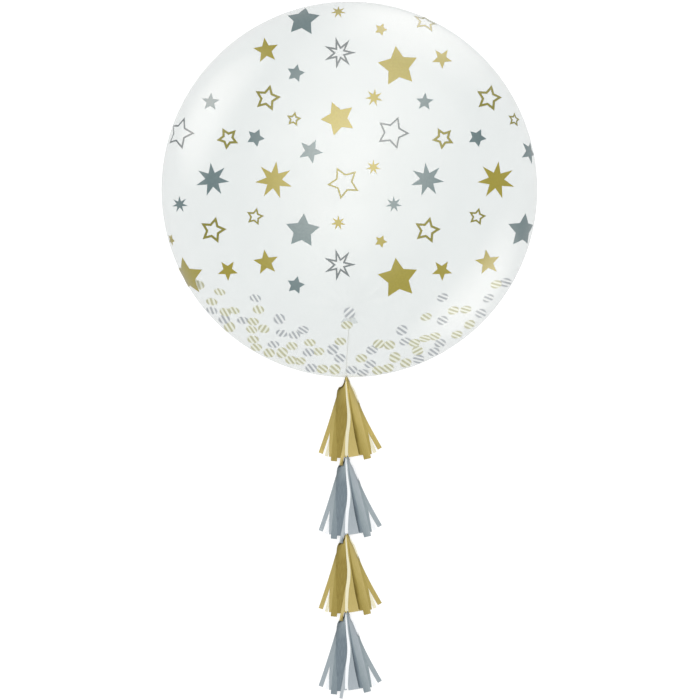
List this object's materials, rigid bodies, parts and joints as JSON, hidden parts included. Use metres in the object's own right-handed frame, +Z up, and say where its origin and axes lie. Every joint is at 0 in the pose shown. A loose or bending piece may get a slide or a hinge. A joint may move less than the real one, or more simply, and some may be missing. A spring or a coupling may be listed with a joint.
{
  "type": "confetti balloon with tassel tail",
  "caption": "Round clear balloon printed with stars, confetti inside, neck tied with a string that carries a tail of foil tassels; shown lying on a floor.",
  "frame": {"origin": "centre of the small flat spot that the ball rests on, at floor level", "axes": "+Z up from the floor; -Y along the tail, away from the ball"},
  "size_m": [0.6094, 1.134, 0.6075],
  "materials": {
    "film": "clear stretched film, slightly milky, glossy",
    "gold_ink": "opaque gold print on the film",
    "silver_ink": "opaque grey-silver print on the film",
    "confetti": "thin discs striped white with gold or silver",
    "string": "twisted white cotton",
    "gold_foil": "satin gold foil strips with a pale back",
    "silver_foil": "satin silver foil strips with a white back"
  },
  "bodies": {
    "root": {"balloon": "film", "neck_tie": "string", "string_1": "string", "string_2": "string", "string_3": "string", "string_4": "string", "tassel_gold_1": "gold_foil", "tassel_silver_1": "silver_foil", "tassel_gold_2": "gold_foil", "tassel_silver_2": "silver_foil"}
  },
  "joints": []
}
